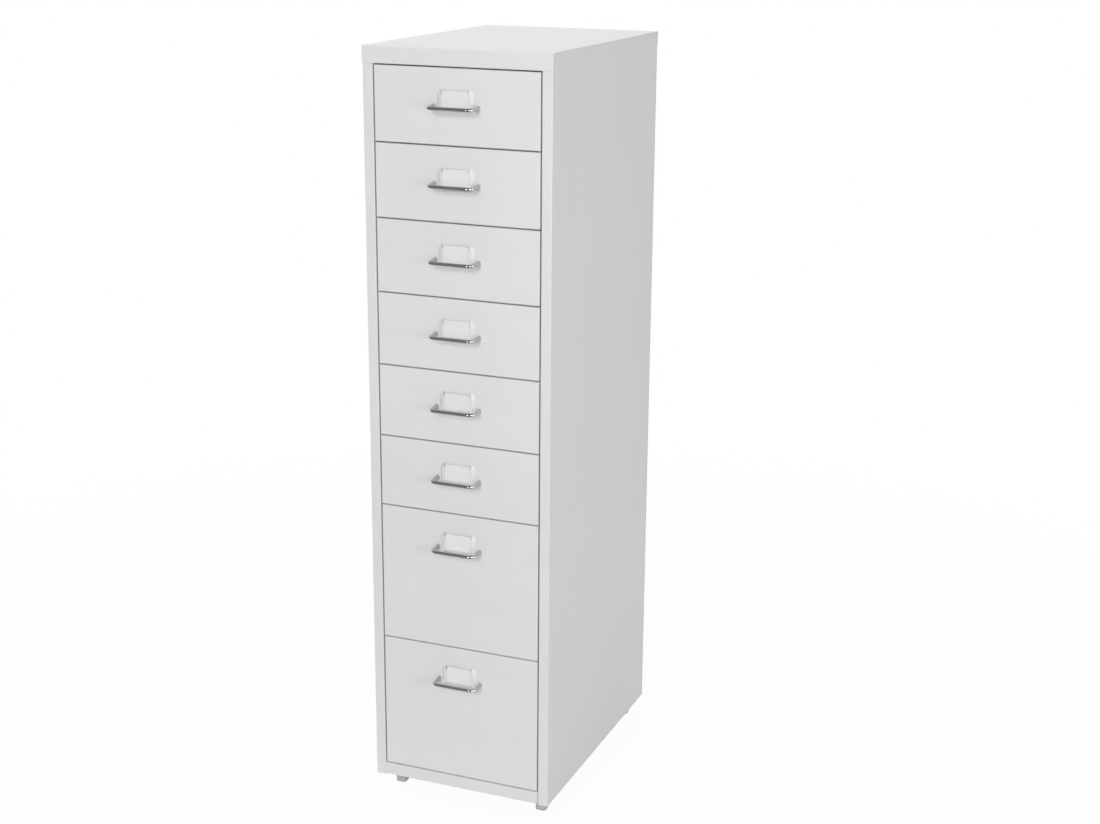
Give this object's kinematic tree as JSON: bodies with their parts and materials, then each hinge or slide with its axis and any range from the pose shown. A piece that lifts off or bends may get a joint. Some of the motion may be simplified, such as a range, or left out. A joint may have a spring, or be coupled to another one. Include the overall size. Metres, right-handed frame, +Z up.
{
  "type": "steel drawer cabinet",
  "caption": "Tall, narrow sheet-steel cabinet on short square feet, with inset drawers that slide out on channel runners, chrome bow handles and raised label holders.",
  "frame": {"origin": "on the floor, in the middle of the area that the cabinet covers with its handles", "axes": "+X to the cabinet's right as seen from the front, +Y to its back, +Z up"},
  "size_m": [0.276, 0.4398, 1.0961],
  "materials": {
    "carcass_paint": "satin powder coat, very pale grey",
    "drawer_paint": "satin powder coat, very pale grey",
    "runner_zinc": "galvanised",
    "handle_chrome": "polished chrome plate",
    "screw_zinc": "zinc plated",
    "clear_plastic": "clear moulded plastic",
    "card_paper": "plain white card",
    "foot_plastic": "fine moulded texture"
  },
  "bodies": {
    "carcass": {"side_panel_left": "carcass_paint", "side_panel_right": "carcass_paint", "top_panel": "carcass_paint", "bottom_panel": "carcass_paint", "back_panel": "carcass_paint", "runners_left": "runner_zinc", "runners_right": "runner_zinc", "foot_front_left": "foot_plastic", "foot_front_right": "foot_plastic", "foot_rear_left": "foot_plastic", "foot_rear_right": "foot_plastic", "assembly_screws": "screw_zinc"},
    "drawer_1": {"drawer_1_tray": "drawer_paint", "drawer_1_front": "drawer_paint", "drawer_1_handle": "handle_chrome", "drawer_1_handle_screws": "screw_zinc", "drawer_1_label_holder": "clear_plastic", "drawer_1_label_card": "card_paper"},
    "drawer_2": {"drawer_2_tray": "drawer_paint", "drawer_2_front": "drawer_paint", "drawer_2_handle": "handle_chrome", "drawer_2_handle_screws": "screw_zinc", "drawer_2_label_holder": "clear_plastic", "drawer_2_label_card": "card_paper"},
    "drawer_3": {"drawer_3_tray": "drawer_paint", "drawer_3_front": "drawer_paint", "drawer_3_handle": "handle_chrome", "drawer_3_handle_screws": "screw_zinc", "drawer_3_label_holder": "clear_plastic", "drawer_3_label_card": "card_paper"},
    "drawer_4": {"drawer_4_tray": "drawer_paint", "drawer_4_front": "drawer_paint", "drawer_4_handle": "handle_chrome", "drawer_4_handle_screws": "screw_zinc", "drawer_4_label_holder": "clear_plastic", "drawer_4_label_card": "card_paper"},
    "drawer_5": {"drawer_5_tray": "drawer_paint", "drawer_5_front": "drawer_paint", "drawer_5_handle": "handle_chrome", "drawer_5_handle_screws": "screw_zinc", "drawer_5_label_holder": "clear_plastic", "drawer_5_label_card": "card_paper"},
    "drawer_6": {"drawer_6_tray": "drawer_paint", "drawer_6_front": "drawer_paint", "drawer_6_handle": "handle_chrome", "drawer_6_handle_screws": "screw_zinc", "drawer_6_label_holder": "clear_plastic", "drawer_6_label_card": "card_paper"},
    "drawer_7": {"drawer_7_tray": "drawer_paint", "drawer_7_front": "drawer_paint", "drawer_7_handle": "handle_chrome", "drawer_7_handle_screws": "screw_zinc", "drawer_7_label_holder": "clear_plastic", "drawer_7_label_card": "card_paper"},
    "drawer_8": {"drawer_8_tray": "drawer_paint", "drawer_8_front": "drawer_paint", "drawer_8_handle": "handle_chrome", "drawer_8_handle_screws": "screw_zinc", "drawer_8_label_holder": "clear_plastic", "drawer_8_label_card": "card_paper"}
  },
  "joints": [
    {"name": "drawer_1_slide", "type": "slide", "parent": "carcass", "child": "drawer_1", "axis": [0, -1, 0], "range_m": [0, 0.29]},
    {"name": "drawer_2_slide", "type": "slide", "parent": "carcass", "child": "drawer_2", "axis": [0, -1, 0], "range_m": [0, 0.29]},
    {"name": "drawer_3_slide", "type": "slide", "parent": "carcass", "child": "drawer_3", "axis": [0, -1, 0], "range_m": [0, 0.29]},
    {"name": "drawer_4_slide", "type": "slide", "parent": "carcass", "child": "drawer_4", "axis": [0, -1, 0], "range_m": [0, 0.29]},
    {"name": "drawer_5_slide", "type": "slide", "parent": "carcass", "child": "drawer_5", "axis": [0, -1, 0], "range_m": [0, 0.29]},
    {"name": "drawer_6_slide", "type": "slide", "parent": "carcass", "child": "drawer_6", "axis": [0, -1, 0], "range_m": [0, 0.29]},
    {"name": "drawer_7_slide", "type": "slide", "parent": "carcass", "child": "drawer_7", "axis": [0, -1, 0], "range_m": [0, 0.29]},
    {"name": "drawer_8_slide", "type": "slide", "parent": "carcass", "child": "drawer_8", "axis": [0, -1, 0], "range_m": [0, 0.29]}
  ]
}
